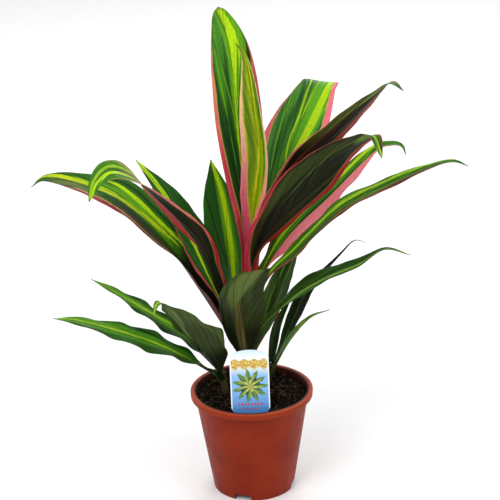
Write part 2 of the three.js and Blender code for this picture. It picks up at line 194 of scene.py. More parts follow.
grow(
    "broad_back", joins=184, heads=55, springs=60,
    spine=[(10, 26, 253), (28, 46, 291), (46, 68, 331), (62, 90, 361), (75, 114, 379),
              (77, 136, 364), (73, 152, 324)],
    widths=[3, 4, 17, 31, 36, 29, 23, 14], tip=(5, 1), fold=[30, 6, -4], wave=1.5, waves=3,
    blade=((44, 106, 34), (82, 152, 28)),
    wash=[
        ((92, 168, 20), 0.42, 0.94, [-0.05, -0.2, -0.36, -0.5, -0.65], [16, 22, 24, 20, 14]),
        ((54, 112, 48), 0.3, 0.9, [0.8, 0.8, 0.75], [10, 14, 8]),
        ((30, 84, 24), 0.4, 0.85, [0.3, 0.4, 0.45], [4, 6, 4]),
    ],
    bands=[
        (FRESH, 0.42, 0.72, [0.35, 0.5, 0.65, 0.9], [1.2, 1.6, 1.8, 1]),
        (LIME, 0.44, 0.86, [-0.05, 0.12, 0.15, 0.4, 0.6], [1.4, 2, 2.4, 2.2, 1.4]),
        (LIME, 0.6, 0.84, [0.06, 0, -0.05], [1.2, 1.8, 1.2]),
        (LIME, 0.42, 0.84, [-0.12, -0.26, -0.42, -0.6, -0.8], [4.4, 7.5, 9, 6.5, 3.5]),
    ],
    left=([2, 3, 6, 9, 8, 2.4, 0.6, 0.5, 0], [ROSE, ROSE, PINK, MAROON]),
    right=([2, 3, 5, 6, 7, 6.5, 3.4, 1.5, 0], [ROSE, PINK, PINK]),
)
grow(
    "upper_right", joins=178, heads=-30, springs=0,
    spine=[(12, 0, 255), (24, -13, 296), (50, -37, 342), (89, -63, 388), (114, -77, 417),
              (127, -86, 431), (138, -94, 426)],
    widths=[3, 3, 7, 14, 18, 22, 22, 13], tip=(8, 0.8),
    roll=[0, -15, -25, 0], fold=[30, 10, 8], wave=1.2, waves=4, blade=(DEEP, MID),
    bands=[(FRESH, 0.3, 1, [0, 0], [1.6, 2.4, 2.4, 1.5])],
    left=([2, 3, 4, 6, 8, 9.5, 11, 7, 0], [ROSE, ROSE, RED, RED, RED]),
    right=([2, 3, 4, 4, 3, 1.6, 0.8, 0, 0], [ROSE, CORAL, CORAL, OLIVE]),
    back=((26, 22, 12), (66, 36, 20)),
    back_wash=[
        ((84, 102, 22), 0.6, 1, [-0.72, -0.72, -0.75, -0.7, -0.6], [7, 10, 12, 11, 8]),
    ],
    back_bands=[
        ((132, 54, 34), 0.4, 0.8, [-0.7, -0.5, -0.42, -0.4], [1.6, 2.2, 2, 1.2]),
        ((104, 146, 26), 0.7, 1, [-0.55, -0.5, -0.2], [1.4, 2.4, 2]),
    ],
)
grow(
    "dark_right", joins=172, heads=-45, springs=-65,
    spine=[(4, -8, 239), (20, -27, 276), (50, -51, 322), (76, -72, 359), (101, -93, 383),
              (112, -102, 388), (118, -110, 371)],
    widths=[3, 4, 11, 19, 26, 26, 22, 18], tip=(8, 0.8),
    roll=[0, -25, -28, -10], fold=[30, 8, 6], wave=1.5, waves=4, blade=(DEEP, FRESH),
    bands=[(LIME, 0.6, 1, [0, 0], [2, 4, 3])],
    left=([2, 4, 5.5, 6, 6, 5, 5, 4, 0], [ROSE, RED, RED, RED]),
    right=([5, 7, 5, 2.6, 1.8, 1.4, 1, 1, 0.5], [RED, ROSE, ROSE, RED_BROWN, OLIVE]),
    back=((20, 24, 10), (62, 64, 26)),
    back_wash=[
        # Painted shade: near black towards the base
        ((20, 18, 10), -0.1, 0.62, [0.2, 0.1, 0, -0.2], [60, 50, 30, 8]),
        ((44, 58, 20), 0.4, 0.95, [-0.8, -0.7, -0.6, -0.5, -0.4], [6, 9, 12, 12, 8]),
        ((112, 158, 40), 0.84, 1, [0.1, 0, 0], [6, 12, 12]),
    ],
    back_bands=[((70, 80, 28), 0.5, 0.9, [-0.3, -0.25, -0.2], [1, 1.8, 1.2])],
)
grow(
    "pink_right", joins=158, heads=-8,
    spine=[(13, 6, 216), (40, 4, 260), (80, 0, 301), (119, -8, 345), (134, -12, 353),
              (144, -15, 352), (148, -17, 343)],
    widths=[3, 4, 12, 18, 20, 16, 9, 7], tip=(8, 0.8),
    roll=[0, 25, 30, 20], fold=[30, 12, 10], wave=1.8, waves=5, blade=((56, 124, 20), FRESH),
    wash=[((24, 62, 16), 0.2, 0.85, [0.9, 0.85, 0.85], [6, 7, 4])],
    bands=[
        (LIME, 0.25, 0.92, [0.35, 0.4, 0.45, 0.6, 0.85], [2, 3, 4, 4, 2.6]),
        (DEEP, 0.3, 0.8, [0, 0.08, 0.1], [1, 2, 1.2]),
    ],
    left=([1, 1.5, 2, 2, 1.6, 1.2, 1, 0.6, 0], [MAROON, MAROON, MAROON]),
    right=([2, 6, 14, 20, 22, 20, 12, 2, 0], [ROSE, PINK, BLUSH, BLUSH, PINK]),
    back=(UNDER, MAROON),
)
grow(
    "long_right", joins=148, heads=-20, springs=-32,
    spine=[(15, -10, 217), (48, -29, 259), (83, -46, 302), (122, -58, 327), (164, -68, 348),
              (184, -71, 354), (198, -75, 350)],
    widths=[3, 4, 8, 11, 10, 10, 9, 7], tip=(6, 0.8),
    roll=[0, 25, 30, 15], fold=[30, 10, 10], wave=1, waves=5, blade=((50, 106, 20), FRESH),
    wash=[
        ((28, 66, 16), 0.15, 0.75, [-0.5, -0.5, -0.5], [5, 6, 5]),
        ((88, 34, 34), 0.5, 0.98, [-0.85, -0.8, -0.75], [4, 6, 5]),
    ],
    bands=[((154, 198, 40), 0.2, 0.96, [0.3, 0.4, 0.4, 0.6, 0.85], [1.6, 2.6, 3.2, 3.2, 2])],
    left=([2, 2, 1, 0.6, 0.5, 0.5, 0.4, 0, 0], [ROSE, MAROON, MAROON]),
    right=([2, 3, 2.4, 2, 2, 2, 1.6, 0.6, 0], [ROSE, MAROON, MAROON]),
    back=(MAROON, UNDER),
)
grow(
    "back_right", joins=118, heads=45,
    spine=[(6, 16, 142), (20, 31, 168), (34, 46, 198), (48, 61, 226), (58, 72, 244)],
    widths=[3, 5, 11, 15, 16, 14, 10, 6], tip=(4, 1), fold=[30, 15, 15],
    blade=((42, 72, 18), (76, 126, 24)),
    bands=[
        (FRESH, 0.2, 0.95, [0.3, 0.4, 0.3], [0.8, 1.2, 0.8]),
        (FRESH, 0.2, 0.9, [-0.2, -0.3, -0.4], [0.6, 0.9, 0.6]),
    ],
    left=([1, 1, 0.6, 0.5, 0.5, 0.5, 0, 0, 0], [ROSE, MAROON]),
    right=([1, 1, 0.6, 0.5, 0.5, 0, 0, 0, 0], [ROSE, MAROON]),
)
grow(
    "front", joins=112, heads=-80,
    spine=[(-9, -18, 171), (-8, -44, 206), (0, -69, 238), (20, -92, 265)],
    widths=[3, 6, 17, 24, 27, 25, 20, 14], tip=(4, 0.8),
    roll=[0, -30, -35], fold=[30, 15, 12], wave=1, waves=3, blade=(DEEP, MID),
    back=((58, 74, 30), (84, 96, 42)),
    back_wash=[
        # Painted shade, darkest towards the base
        ((42, 52, 22), -0.1, 0.85, [0, 0], [60, 56, 20]),
        ((22, 26, 10), -0.1, 0.45, [0, 0], [60, 60, 40]),
        # A painted lighter patch where light falls
        ((88, 104, 52), 0.45, 1, [-0.45, -0.4, -0.3], [10, 14, 8]),
        ((38, 50, 20), 0.4, 1, [0.8, 0.75, 0.7], [12, 16, 10]),
        ((96, 78, 40), 0.1, 0.7, [0.02, -0.05, -0.1], [6, 8, 3]),
    ],
)
grow(
    "long_left", joins=128, heads=165,
    spine=[(-23, 12, 160), (-48, 22, 200), (-81, 31, 250), (-116, 43, 286), (-153, 51, 300),
              (-192, 58, 306), (-209, 61, 296)],
    widths=[3, 7, 17, 22, 22, 20, 15, 11], tip=(6, 0.9),
    roll=[0, -10, -30, -30], fold=[45, 42, 12, 8], wave=1.5, waves=5,
    blade=((36, 88, 20), (64, 128, 22)),
    wash=[
        ((22, 50, 16), 0.3, 0.8, [0.3, 0.42, 0.48, 0.4], [5, 7, 6, 4]),
        ((16, 24, 10), -0.1, 0.52, [0, 0, 0.1, 0.4], [60, 60, 44, 12]),
        ((62, 30, 26), 0.3, 0.78, [0.85, 0.8, 0.82, 0.88], [8, 12, 9, 5]),
        # A painted sheen: a grey-green patch towards the tip
        ((100, 112, 60), 0.72, 0.96, [0.6, 0.5, 0.5], [5, 7, 5]),
        (FRESH, 0.38, 0.85, [-0.1, -0.1, -0.1, -0.2], [6, 9, 10, 6]),
    ],
    bands=[
        ((186, 208, 26), 0.43, 0.97, [-0.35, -0.12, 0.1, 0, -0.3, -0.6],
         [2.2, 3.8, 5, 5, 4.4, 3]),
        (LIME, 0.43, 0.76, [-0.5, -0.38, -0.4, -0.65], [2.5, 3.6, 4, 2]),
        (DEEP, 0.36, 0.78, [-0.75, -0.65, -0.7, -0.85], [2, 3, 2.6, 1.6]),
    ],
    left=([2, 4, 5, 3.4, 2.6, 3, 4, 0.8, 0], [MAROON, MAROON, MAROON, WINE, PLUM, OLIVE]),
    right=([1, 2, 1.6, 1, 0.8, 0.6, 0.4, 0, 0], [MAROON, OLIVE]),
    back=((46, 26, 20), MAROON),
)
grow(
    "dark_left", joins=152, heads=215,
    spine=[(-22, -8, 188), (-34, -26, 243), (-45, -38, 275), (-87, -67, 333),
              (-104, -78, 352), (-120, -87, 359), (-132, -91, 349), (-138, -93, 333)],
    widths=[3, 4, 8, 12, 13, 16, 18, 14], tip=(6, 0.8),
    roll=[0, 8, 22, 26, -20, -50], fold=[30, 10, 8], wave=1.2, waves=4,
    blade=((58, 122, 20), FRESH),
    wash=[((104, 132, 78), 0.66, 0.86, [0, 0], [20, 22, 10])],
    bands=[
        (LIME, 0.74, 1, [0.35, 0.3, 0.2, 0.1], [2, 3.6, 4, 3]),
        ((150, 190, 40), 0.74, 1, [-0.35, -0.4, -0.35, -0.3], [1.6, 3, 3, 2]),
        (PINK, 0.74, 0.86, [0, 0], [1.6, 2, 1.2]),
    ],
    left=([0.6, 0.6, 1, 3.8, 1.4, 3.4, 3, 0.8, 0], [RED, RED, RED, RED, CORAL, PINK, SAGE, SAGE]),
    right=([0.6, 0.6, 0.6, 1, 5.5, 10, 8, 0.8, 0], [RED, RED, RED, RED, RED, SAGE, SAGE]),
    back=((22, 26, 12), (44, 34, 16)),
)
grow(
    "behind_left", joins=138, heads=180,
    spine=[(-23, 4, 183), (-36, 3, 218), (-52, 2, 262), (-76, 2, 305), (-102, 5, 339)],
    widths=[3, 4, 13, 19, 21, 19, 14, 10], tip=(6, 0.9),
    roll=[0, -30, -35], fold=[30, 10, 8], wave=1.5, waves=3, blade=((30, 80, 22), MID),
    bands=[(LIME, 0.15, 1, [0.2, 0.2, 0.18, 0.12, 0.05], [3, 4, 5, 5.5, 5])],
    left=([2, 4, 4, 3, 2, 1, 0.6, 0, 0], [ROSE, ROSE, MAROON]),
    right=([1, 2, 1, 1, 0.6, 0.5, 0, 0, 0], [ROSE, MAROON]),
)
grow(
    "short_back", joins=142, heads=120, springs=130,
    spine=[(-12, 19, 158), (-20, 29, 222), (-26, 34, 265), (-33, 43, 325)],
    widths=[3, 3.5, 14, 21, 23, 22, 20, 14], tip=(6, 0.9), fold=[30, 12, 10], wave=1, waves=3,
    blade=((40, 96, 28), MID),
    wash=[
        (FRESH, 0.3, 1, [-0.2, -0.26, -0.32, -0.4, -0.5], [8, 10, 10, 8, 4]),
        # A painted sheen: a pale grey-green patch near the base
        ((84, 136, 84), 0.12, 0.5, [0, -0.1, -0.3], [16, 14, 6]),
    ],
    bands=[(LIME, 0.2, 1, [-0.16, -0.22, -0.32, -0.4, -0.42], [2.4, 3.6, 4.6, 4.4, 3])],
    left=([1, 1, 0.5, 0.4, 0.3, 0, 0, 0, 0], [ROSE, MAROON]),
    right=([1, 1, 0.5, 0.4, 0.3, 0, 0, 0, 0], [ROSE, MAROON]),
)
grow(
    "low_right", joins=122, heads=-5,
    spine=[(9, 4, 161), (40, 2, 196), (69, -1, 217), (106, -3, 233), (130, -5, 247),
              (154, -8, 241)],
    widths=[3, 3, 5, 9, 11, 8, 5, 4], tip=(6, 0.8),
    roll=[0, 20, 20, 10], fold=[30, 12, 10], wave=1, waves=4,
    blade=((42, 84, 22), (84, 140, 34)),
    bands=[((120, 176, 36), 0.1, 1, [-0.2, -0.35, -0.4, -0.2], [2.4, 4, 3, 1.4])],
)
grow(
    "left_top", cane="left", joins=112, heads=187, springs=165,
    spine=[(-32, 3, 122), (-60, 1, 154), (-89, -3, 180), (-122, -8, 208), (-149, -13, 228)],
    widths=[3, 3.5, 8, 11, 11, 9, 7, 5], tip=(6, 0.9),
    roll=[0, -25, -25], fold=[30, 15, 12], wave=2, waves=5, blade=((30, 66, 18), (66, 118, 28)),
    wash=[((92, 152, 34), 0.25, 1, [-0.4, -0.2, 0, 0.1], [6, 8, 8, 5])],
    bands=[((146, 190, 40), 0.2, 0.98, [-0.5, -0.4, -0.1, 0.15], [1, 1.8, 2, 1.4])],
)
grow(
    "left_front", cane="left", joins=108, heads=230, springs=245,
    spine=[(-31, -9, 127), (-49, -30, 164), (-66, -48, 198), (-78, -62, 219),
              (-84, -69, 224), (-88, -74, 214)],
    widths=[3, 5, 19, 28, 32, 22, 12, 8], tip=(6, 0.9),
    roll=[0, 5, 5, 0], fold=[30, 20, 10], wave=2.4, waves=4, blade=((58, 108, 22), FRESH),
    bands=[(LIME, 0.7, 1, [0, 0], [2, 3, 2])],
    back=((56, 72, 32), (86, 98, 46)),
    back_wash=[
        # Painted shade, darkest towards the base
        ((40, 52, 24), -0.1, 0.8, [0, 0], [60, 56, 20]),
        ((20, 26, 12), -0.1, 0.4, [0, 0], [60, 60, 40]),
        # A painted lighter patch where light falls
        ((92, 116, 60), 0.4, 0.9, [-0.3, -0.2, 0], [8, 14, 8]),
    ],
)
grow(
    "left_low", cane="left", joins=103, heads=200,
    spine=[(-37, -4, 122), (-70, -16, 149), (-110, -29, 174), (-159, -41, 196),
              (-183, -45, 202)],
    widths=[3, 4, 10, 13, 14, 11, 10, 8], tip=(6, 0.9),
    roll=[0, -30, -25], fold=[30, 8, 6], wave=2, waves=5, blade=((30, 70, 20), MID),
    wash=[((86, 146, 32), 0.15, 1, [-0.1, -0.1, -0.15, -0.3], [8, 12, 12, 6])],
    bands=[((150, 190, 44), 0.15, 1, [-0.1, -0.1, -0.15, -0.35], [1.2, 2, 2, 1.2])],
)
grow(
    "rear_right", cane="right", joins=112, heads=40, springs=35,
    spine=[(27, 17, 128), (44, 36, 161), (60, 49, 187), (92, 64, 217), (106, 70, 228),
              (118, 76, 223)],
    widths=[3, 3.5, 7, 9, 6, 3, 2, 2], tip=(4, 1), roll=[0, 10, 10], fold=[30, 12, 10],
    blade=((20, 34, 12), (40, 66, 24)),
    bands=[(FRESH, 0.1, 0.6, [0, 0], [0.8, 1, 0.6])],
)
grow(
    "inner_right", cane="right", joins=115, heads=85, springs=110,
    spine=[(20, 24, 122), (27, 35, 154), (44, 48, 183)],
    widths=[3, 3, 4, 5, 5, 4.5, 4, 3], tip=(4, 1), fold=[30, 15, 10],
    blade=((28, 50, 14), (54, 92, 24)),
)
grow(
    "pale_right", cane="right", joins=105, heads=-20, springs=-30,
    spine=[(24, 7, 124), (41, -2, 158), (58, -10, 181), (77, -16, 191)],
    widths=[3, 3.5, 6, 8, 7.5, 6, 4, 2], tip=(4, 1), roll=[0, 20, 20], fold=[30, 15, 10],
    blade=((56, 104, 28), FRESH),
    bands=[(LIME, 0.1, 0.95, [0, 0], [0.8, 1.4, 0.8])],
)


class Recipe:
    """One material. Short calls add its nodes, and each returns an output. "colour" is the
    paint so far; lay() and cover() put another shade over a part of it."""

    def __init__(self, name, colour):
        self.material = bpy.data.materials.new(name)
        self.material.use_nodes = True
        self.tree = self.material.node_tree
        self.surface = self.tree.nodes["Principled BSDF"]
        self.colour = colour

    def feed(self, socket, value):
        if isinstance(value, bpy.types.NodeSocket):
            self.tree.links.new(value, socket)
        else:
            socket.default_value = tuple(linear(value)) if isinstance(value, tuple) else value

    def add(self, kind, *values, **settings):
        """A node with its settings; its first sockets take the values."""
        node = self.tree.nodes.new("ShaderNode" + kind)
        for key, setting in settings.items():
            setattr(node, key, setting)
        for socket, value in zip(node.inputs, values):
            self.feed(socket, value)
        return node

    def read(self, name, output="Fac"):
        return self.add("Attribute", attribute_name=name).outputs[output]

    def place(self):
        """The point in the object's own frame, in metres."""
        return self.add("TexCoord").outputs["Object"]

    def split(self, vector):
        return self.add("SeparateXYZ", vector).outputs

    def vector(self, x, y, z):
        return self.add("CombineXYZ", x, y, z).outputs[0]

    def math(self, operation, *values):
        return self.add("Math", *values, operation=operation).outputs[0]

    def times(self, first, second):
        return self.math("MULTIPLY", first, second)

    def scaled(self, value, factor, plus):
        return self.math("MULTIPLY_ADD", value, factor, plus)

    def distance(self, x, y):
        return self.math("SQRT", self.math("ADD", self.times(x, x), self.times(y, y)))

    def noise(self, vector, scale=1.0, detail=2.0):
        node = self.add("TexNoise", vector)
        node.inputs["Scale"].default_value = scale
        node.inputs["Detail"].default_value = detail
        return node.outputs[0]

    def between(self, value, low, high, start=0.0, end=1.0):
        """Rises softly from start, where value is low, to end, where it is high."""
        sockets = (value, low, high, start, end)
        return self.add("MapRange", *sockets, interpolation_type="SMOOTHSTEP").outputs[0]

    def mix(self, share, first, second, blend="MIX"):
        node = self.add("Mix", share, data_type="RGBA", blend_type=blend)
        colours = [socket for socket in node.inputs if socket.type == "RGBA"]
        self.feed(colours[0], first)
        self.feed(colours[1], second)
        return next(socket for socket in node.outputs if socket.type == "RGBA")

    def cover(self, shade, share, blend="MIX"):
        """Puts a shade over the colour, by a share from 0 to 1."""
        self.colour = self.mix(share, self.colour, shade, blend)

    def lay(self, shade, value, low, high, strength=1.0, blend="MIX"):
        """Puts a shade over the colour: none of it where value is low, most where high."""
        self.cover(shade, self.between(value, low, high, 0, strength), blend)

    def bump(self, height, distance, strength=1.0):
        node = self.add("Bump", strength, distance)
        self.feed(node.inputs["Height"], height)
        self.feed(self.surface.inputs["Normal"], node.outputs["Normal"])

    def finish(self, roughness, specular):
        self.feed(self.surface.inputs["Base Color"], self.colour)
        self.feed(self.surface.inputs["Roughness"], roughness)
        self.surface.inputs["Specular IOR Level"].default_value = specular
        return self.material


def unit(vectors):
    """The same directions, each of length 1."""
    return vectors / np.linalg.norm(vectors, axis=-1, keepdims=True)


def scattered(reach):
    """A random place within a circle."""
    away, angle = reach * math.sqrt(rng.random()), rng.random() * TURN
    return away * math.cos(angle), away * math.sin(angle)


def new_object(name, points, faces):
    """A mesh object in the scene, from points in mm."""
    mesh = bpy.data.meshes.new(name)
    mesh.from_pydata((np.asarray(points) * MM).tolist(), [], [list(face) for face in faces])
    thing = bpy.data.objects.new(name, mesh)
    link(thing)
    return thing


def build(name, points, faces, material, node, numbers=None, colours=None):
    """A smooth mesh piece in place of a solid. points are in mm; numbers and colours are
    named lists of values, one for each point, for the material to read. A tuple of
    materials is dealt out in order, an equal share of the faces to each."""
    piece = new_object(name, points, faces)
    mesh = piece.data
    for kind, field, layers in (("FLOAT", "value", numbers), ("FLOAT_COLOR", "color", colours)):
        for key, values in (layers or {}).items():
            layer = mesh.attributes.new(key, kind, "POINT")
            layer.data.foreach_set(field, np.asarray(values, np.float32).ravel())
    materials = material if isinstance(material, tuple) else (material,)
    for each in materials:
        mesh.materials.append(each)
    count = len(mesh.polygons)
    turns = np.arange(count, dtype=np.int32) * len(materials) // count
    mesh.polygons.foreach_set("material_index", turns)
    mesh.validate()
    mesh.shade_smooth()
    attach(piece, "root")
    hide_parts(node)
    return piece


def along(values, t):
    """A smooth curve through values at even steps, read at t from 0 to 1."""
    values = np.asarray(values, float)
    last = len(values) - 1
    i = np.minimum((t * last).astype(int), last - 1)
    f = t * last - i
    slope_in = (values[i + 1] - values[np.maximum(i - 1, 0)]) / 2
    slope_out = (values[np.minimum(i + 2, last)] - values[i]) / 2
    ease = f * f * (3 - 2 * f)
    return (values[i] * (1 - ease) + values[i + 1] * ease
            + slope_in * f * (1 - f) ** 2 - slope_out * f * f * (1 - f))


def cane_point(cane, height):
    t = (height - SOIL_LEVEL) / (cane.height - SOIL_LEVEL)
    foot, top = np.array(cane.foot), np.array(cane.top)
    return np.array([*(foot + (top - foot) * t), height])


def midrib(leaf, steps=1200):
    """Points and directions along a leaf's midrib, and how far each lies from the base."""
    cane = CANES[leaf.cane]
    base = math.radians(leaf.springs)
    start = cane_point(cane, leaf.joins)
    clear = cane.radius + LEAF.clearance
    leave = start + (math.cos(base) * clear, math.sin(base) * clear, leaf.rise)
    knots = np.array([start, leave, *leaf.spine], float)
    spans = len(knots) - 1
    knots = np.vstack([2 * knots[0] - knots[1], knots, 2 * knots[-1] - knots[-2]])
    u = np.linspace(0, spans, steps)
    i = np.minimum(u.astype(int), spans - 1)
    f = (u - i)[:, None]
    before, here, there, after = (knots[i + k] for k in range(4))
    pull, push = (there - before) / 2, (after - here) / 2
    square = 3 * (there - here) - 2 * pull - push
    cube = 2 * (here - there) + pull + push
    points = here + pull * f + square * f**2 + cube * f**3
    ways = pull + 2 * square * f + 3 * cube * f**2
    lengths = np.linalg.norm(np.diff(points, axis=0), axis=1)
    return points, ways, np.concatenate([[0], np.cumsum(lengths)])


def area(begin, end, places, widths, fade, t, across, half_width):
    """An area of a leaf: its half width and each point's distance from its middle line, in
    mm, and how far it has faded in from its ends; an end at the tip isn't faded."""
    share = np.clip((t - begin) / (end - begin), 0, 1)
    ends = np.minimum(share / fade, 1) * np.minimum((1 - share) / fade + (end >= 1), 1)
    away = np.abs(across - along(places, share)) * half_width
    return along(widths, share) / 2, away, ends


def bands_over(bands, t, across, half_width):
    """How deep each point lies inside its nearest band, in mm, and that band's colour."""
    depth = np.full(across.shape, OUTSIDE)
    tint = np.zeros((*across.shape, 4))
    for shade, begin, end, places, widths in bands:
        half, away, ends = area(begin, end, places, widths, 0.15, t, across, half_width)
        inside = np.where((t < begin) | (t > end), OUTSIDE, half * ends**0.5 - away)
        nearer = inside > depth
        depth = np.where(nearer, inside, depth)
        tint[nearer] = linear(shade)
    return depth, tint


def washed(ground, areas, t, across, half_width, softness=3.0):
    """The ground colour with soft-edged areas of other shades laid over it, in turn."""
    paint = np.broadcast_to(ground, (*across.shape, 4))
    for shade, begin, end, places, widths in areas:
        half, away, ends = area(begin, end, places, widths, 0.3, t, across, half_width)
        cover = np.clip((half - away) / softness + 0.5, 0, 1)
        cover = (cover**2 * (3 - 2 * cover) * ends**2 * (3 - 2 * ends))[..., None]
        paint = paint * (1 - cover) + linear(shade) * cover
    return paint


def shades_along(shades, t):
    """Colours given at even steps along a leaf, read at t."""
    shades = np.array([linear(shade) for shade in shades])
    steps = np.linspace(0, 1, len(shades))
    return np.stack([np.interp(t, steps, shades[:, k]) for k in range(4)], axis=-1)


def wall_radius(height):
    """The radius of the pot's outer wall at a height."""
    spread = POT.wall_top_radius - POT.foot_radius
    return POT.foot_radius + spread * height / POT.height


def bent(start, corner, end, steps):
    """Points on a curve from start to end that is drawn towards a corner."""
    f = np.linspace(0, 1, steps)[:, None]
    return start * (1 - f) ** 2 + 2 * corner * f * (1 - f) + end * f**2


def rounded(corners, steps=6):
    """A profile of [radius, height] points; each corner is given with its rounding."""
    points = []
    for i, (radius, height, rounding) in enumerate(corners):
        corner = np.array([radius, height], float)
        if rounding == 0:
            points.append(corner)
            continue
        before = np.array(corners[i - 1][:2]) - corner
        after = np.array(corners[i + 1][:2]) - corner
        enter, leave = corner + unit(before) * rounding, corner + unit(after) * rounding
        points.extend(bent(enter, corner, leave, steps))
    return points


def sheet(index, closed=False):
    """The faces of a sheet of points; index holds the points' numbers, row by row."""
    if closed:
        index = np.hstack([index, index[:, :1]])
    corners = (index[:-1, :-1], index[1:, :-1], index[1:, 1:], index[:-1, 1:])
    return np.stack(corners, axis=-1).reshape(-1, 4)


def turned(profile, sides):
    """Points and faces of a profile turned about Z, which starts and ends on the axis."""
    rings = np.array(profile[1:-1])
    angles = np.arange(sides) * TURN / sides
    points = [
        (radius * math.cos(angle), radius * math.sin(angle), height)
        for radius, height in rings
        for angle in angles
    ]
    index = np.arange(len(points)).reshape(-1, sides)
    low, high = len(points), len(points) + 1
    points += [(0, 0, profile[0][1]), (0, 0, profile[-1][1])]
    faces = sheet(index, closed=True)[:, (0, 3, 2, 1)].tolist()
    for ring, turn, middle in ((index[0], -1, low), (index[-1], 1, high)):
        ends = zip(ring[::turn], np.roll(ring[::turn], -1))
        faces += [(middle, here, there) for here, there in ends]
    return np.array(points), faces


def cut(piece, cutters):
    """Cuts closed meshes of (points in mm, faces) out of a piece."""
    for points, faces in cutters:
        cutter = new_object("cutter", points, faces)
        modifier = piece.modifiers.new("cut", "BOOLEAN")
        modifier.object = cutter
        modifier.operation = "DIFFERENCE"
        modifier.solver = "EXACT"
        bpy.context.view_layer.update()
        seen = piece.evaluated_get(bpy.context.evaluated_depsgraph_get())
        piece.data = bpy.data.meshes.new_from_object(seen)
        piece.modifiers.clear()
        bpy.data.objects.remove(cutter)


def crisp(piece, degrees=32):
    """Smooth shading with creases where faces meet at more than an angle."""
    piece.data.shade_smooth()
    piece.data.set_sharp_from_angle(angle=math.radians(degrees))


def pot_skin():
    """Moulded terracotta-coloured plastic: mottled, faintly ringed and scuffed, with painted light
    and shade at the rim and painted shade inside.
    """
    r = Recipe("pot_plastic", (118, 32, 11))
    place = r.place()
    x, y, z = r.split(place)
    mottle = r.noise(place, scale=28, detail=4)
    grain = r.noise(place, scale=1400, detail=2)
    scuffs = r.noise(r.vector(x, y, r.times(z, 0.18)), scale=260, detail=5)
    r.lay((132, 40, 15), mottle, 0.3, 0.7)
    r.lay((146, 68, 36), scuffs, 0.62, 0.8, 0.22)
    # A lighter rim, a painted shade band under it and a painted highlight along its crest
    top = POT.height * MM
    rim_foot = top - POT.rim_drop * MM
    r.lay((150, 52, 24), z, rim_foot - 0.8 * MM, rim_foot + 0.4 * MM, 0.5)
    shade = r.times(r.between(z, rim_foot - 3.2 * MM, rim_foot - 0.4 * MM),
                    r.between(z, rim_foot + 0.2 * MM, rim_foot - 0.4 * MM))
    r.cover((60, 18, 8), r.times(shade, 0.8))
    r.lay((190, 84, 48), z, top - 1.2 * MM, top - 0.2 * MM, 0.5)
    # Painted shade, a dark brown, over the inner side of the wall and the inner part of the rim
    radius = r.distance(x, y)
    slope = (POT.wall_top_radius - POT.foot_radius) / POT.height
    depth = r.math("SUBTRACT", radius, r.times(z, slope))
    outer, rim = POT.foot_radius * MM, POT.rim_radius * MM
    inside = r.between(depth, outer - 0.4 * MM, outer - 1.0 * MM)
    ragged = r.scaled(mottle, 4 * MM, radius)
    inner_rim_shade = r.times(r.between(ragged, rim - 0.2 * MM, rim - 2.2 * MM),
                  r.between(z, top - 3 * MM, top - 1.5 * MM))
    r.cover((36, 22, 14), r.times(r.math("MAXIMUM", inside, inner_rim_shade), 0.88))
    rings = r.math("SINE", r.times(z, TURN / (1.1 * MM)))
    r.bump(r.scaled(rings, 0.05, r.math("ADD", grain, scuffs)), 0.12 * MM, 0.6)
    return r.finish(r.between(scuffs, 0.35, 0.75, 0.42, 0.6), specular=0.1)


def add_pot():
    """The pot's wall, rolled rim, raised floor with drainage holes, and notched foot."""
    height, rim, wall = POT.height, POT.rim_radius, POT.wall
    rim_wall, foot, foot_wall = POT.rim_wall, POT.foot_radius, POT.foot_wall
    underside = POT.floor_underside
    floor_top = underside + POT.floor_thickness
    boss, taper = POT.boss_radius, POT.rim_taper
    under_rim = height - rim_wall
    profile = rounded([
        (0, 0, 0), (boss, 0, 0.5), (boss, underside, 0.5), (foot - foot_wall, underside, 0.5),
        (foot - foot_wall, 0, 0.5), (foot, 0, 0.6), (wall_radius(under_rim), under_rim, 0.5),
        (rim - rim_wall, under_rim, 0.5), (rim - rim_wall - taper, height - POT.rim_drop, 0.6),
        (rim - taper, height - POT.rim_drop, 0.6), (rim, height, 1.1),
        (wall_radius(height) - wall, height, 0.9), (wall_radius(floor_top) - wall, floor_top, 1.2),
        (0, floor_top, 0),
    ])
    points, faces = turned(profile, FINENESS.pot)
    piece = build("pot_shell", points, faces, pot_skin(), "pot")
    cutters = []
    sides = [(0, 1, 3, 2), (4, 6, 7, 5), (0, 4, 5, 1), (2, 3, 7, 6), (0, 2, 6, 4), (1, 5, 7, 3)]
    for degrees, width in NOTCHES.at:
        turn = Matrix.Rotation(math.radians(degrees), 3, "Z")
        corners = [
            turn @ Vector((foot + x * NOTCHES.depth / 2, y * width / 2, z * NOTCHES.height))
            for x in (-1, 1) for y in (-1, 1) for z in (-1, 1)
        ]
        cutters.append((corners, sides))
    radius, away, (below, above) = DRAINS.radius, DRAINS.ring_radius, DRAINS.span
    outline = [(0, below), (radius, below), (radius, above), (0, above)]
    hole, sides = turned(outline, FINENESS.hole)
    for i in range(DRAINS.count):
        angle = (i + 0.5) / DRAINS.count * TURN
        cutters.append((hole + (math.cos(angle) * away, math.sin(angle) * away, 0), sides))
    cut(piece, cutters)
    crisp(piece)


def soil_height(x, y):
    """The top of the soil at a place: low swells and small clods."""
    angle, radius = math.atan2(y, x), math.hypot(x, y)
    swell = 0.8 * (math.sin(3 * angle + radius / 9) + math.cos(2 * angle - radius / 7)) / 2
    clods = 1.3 * noise.noise((x / 5.5, y / 5.5, 2)) + 0.8 * noise.noise((x / 2.2, y / 2.2, 7))
    fade = min(max((50 - radius) / 6, 0), 1)
    return SOIL_LEVEL + (swell + clods) * fade


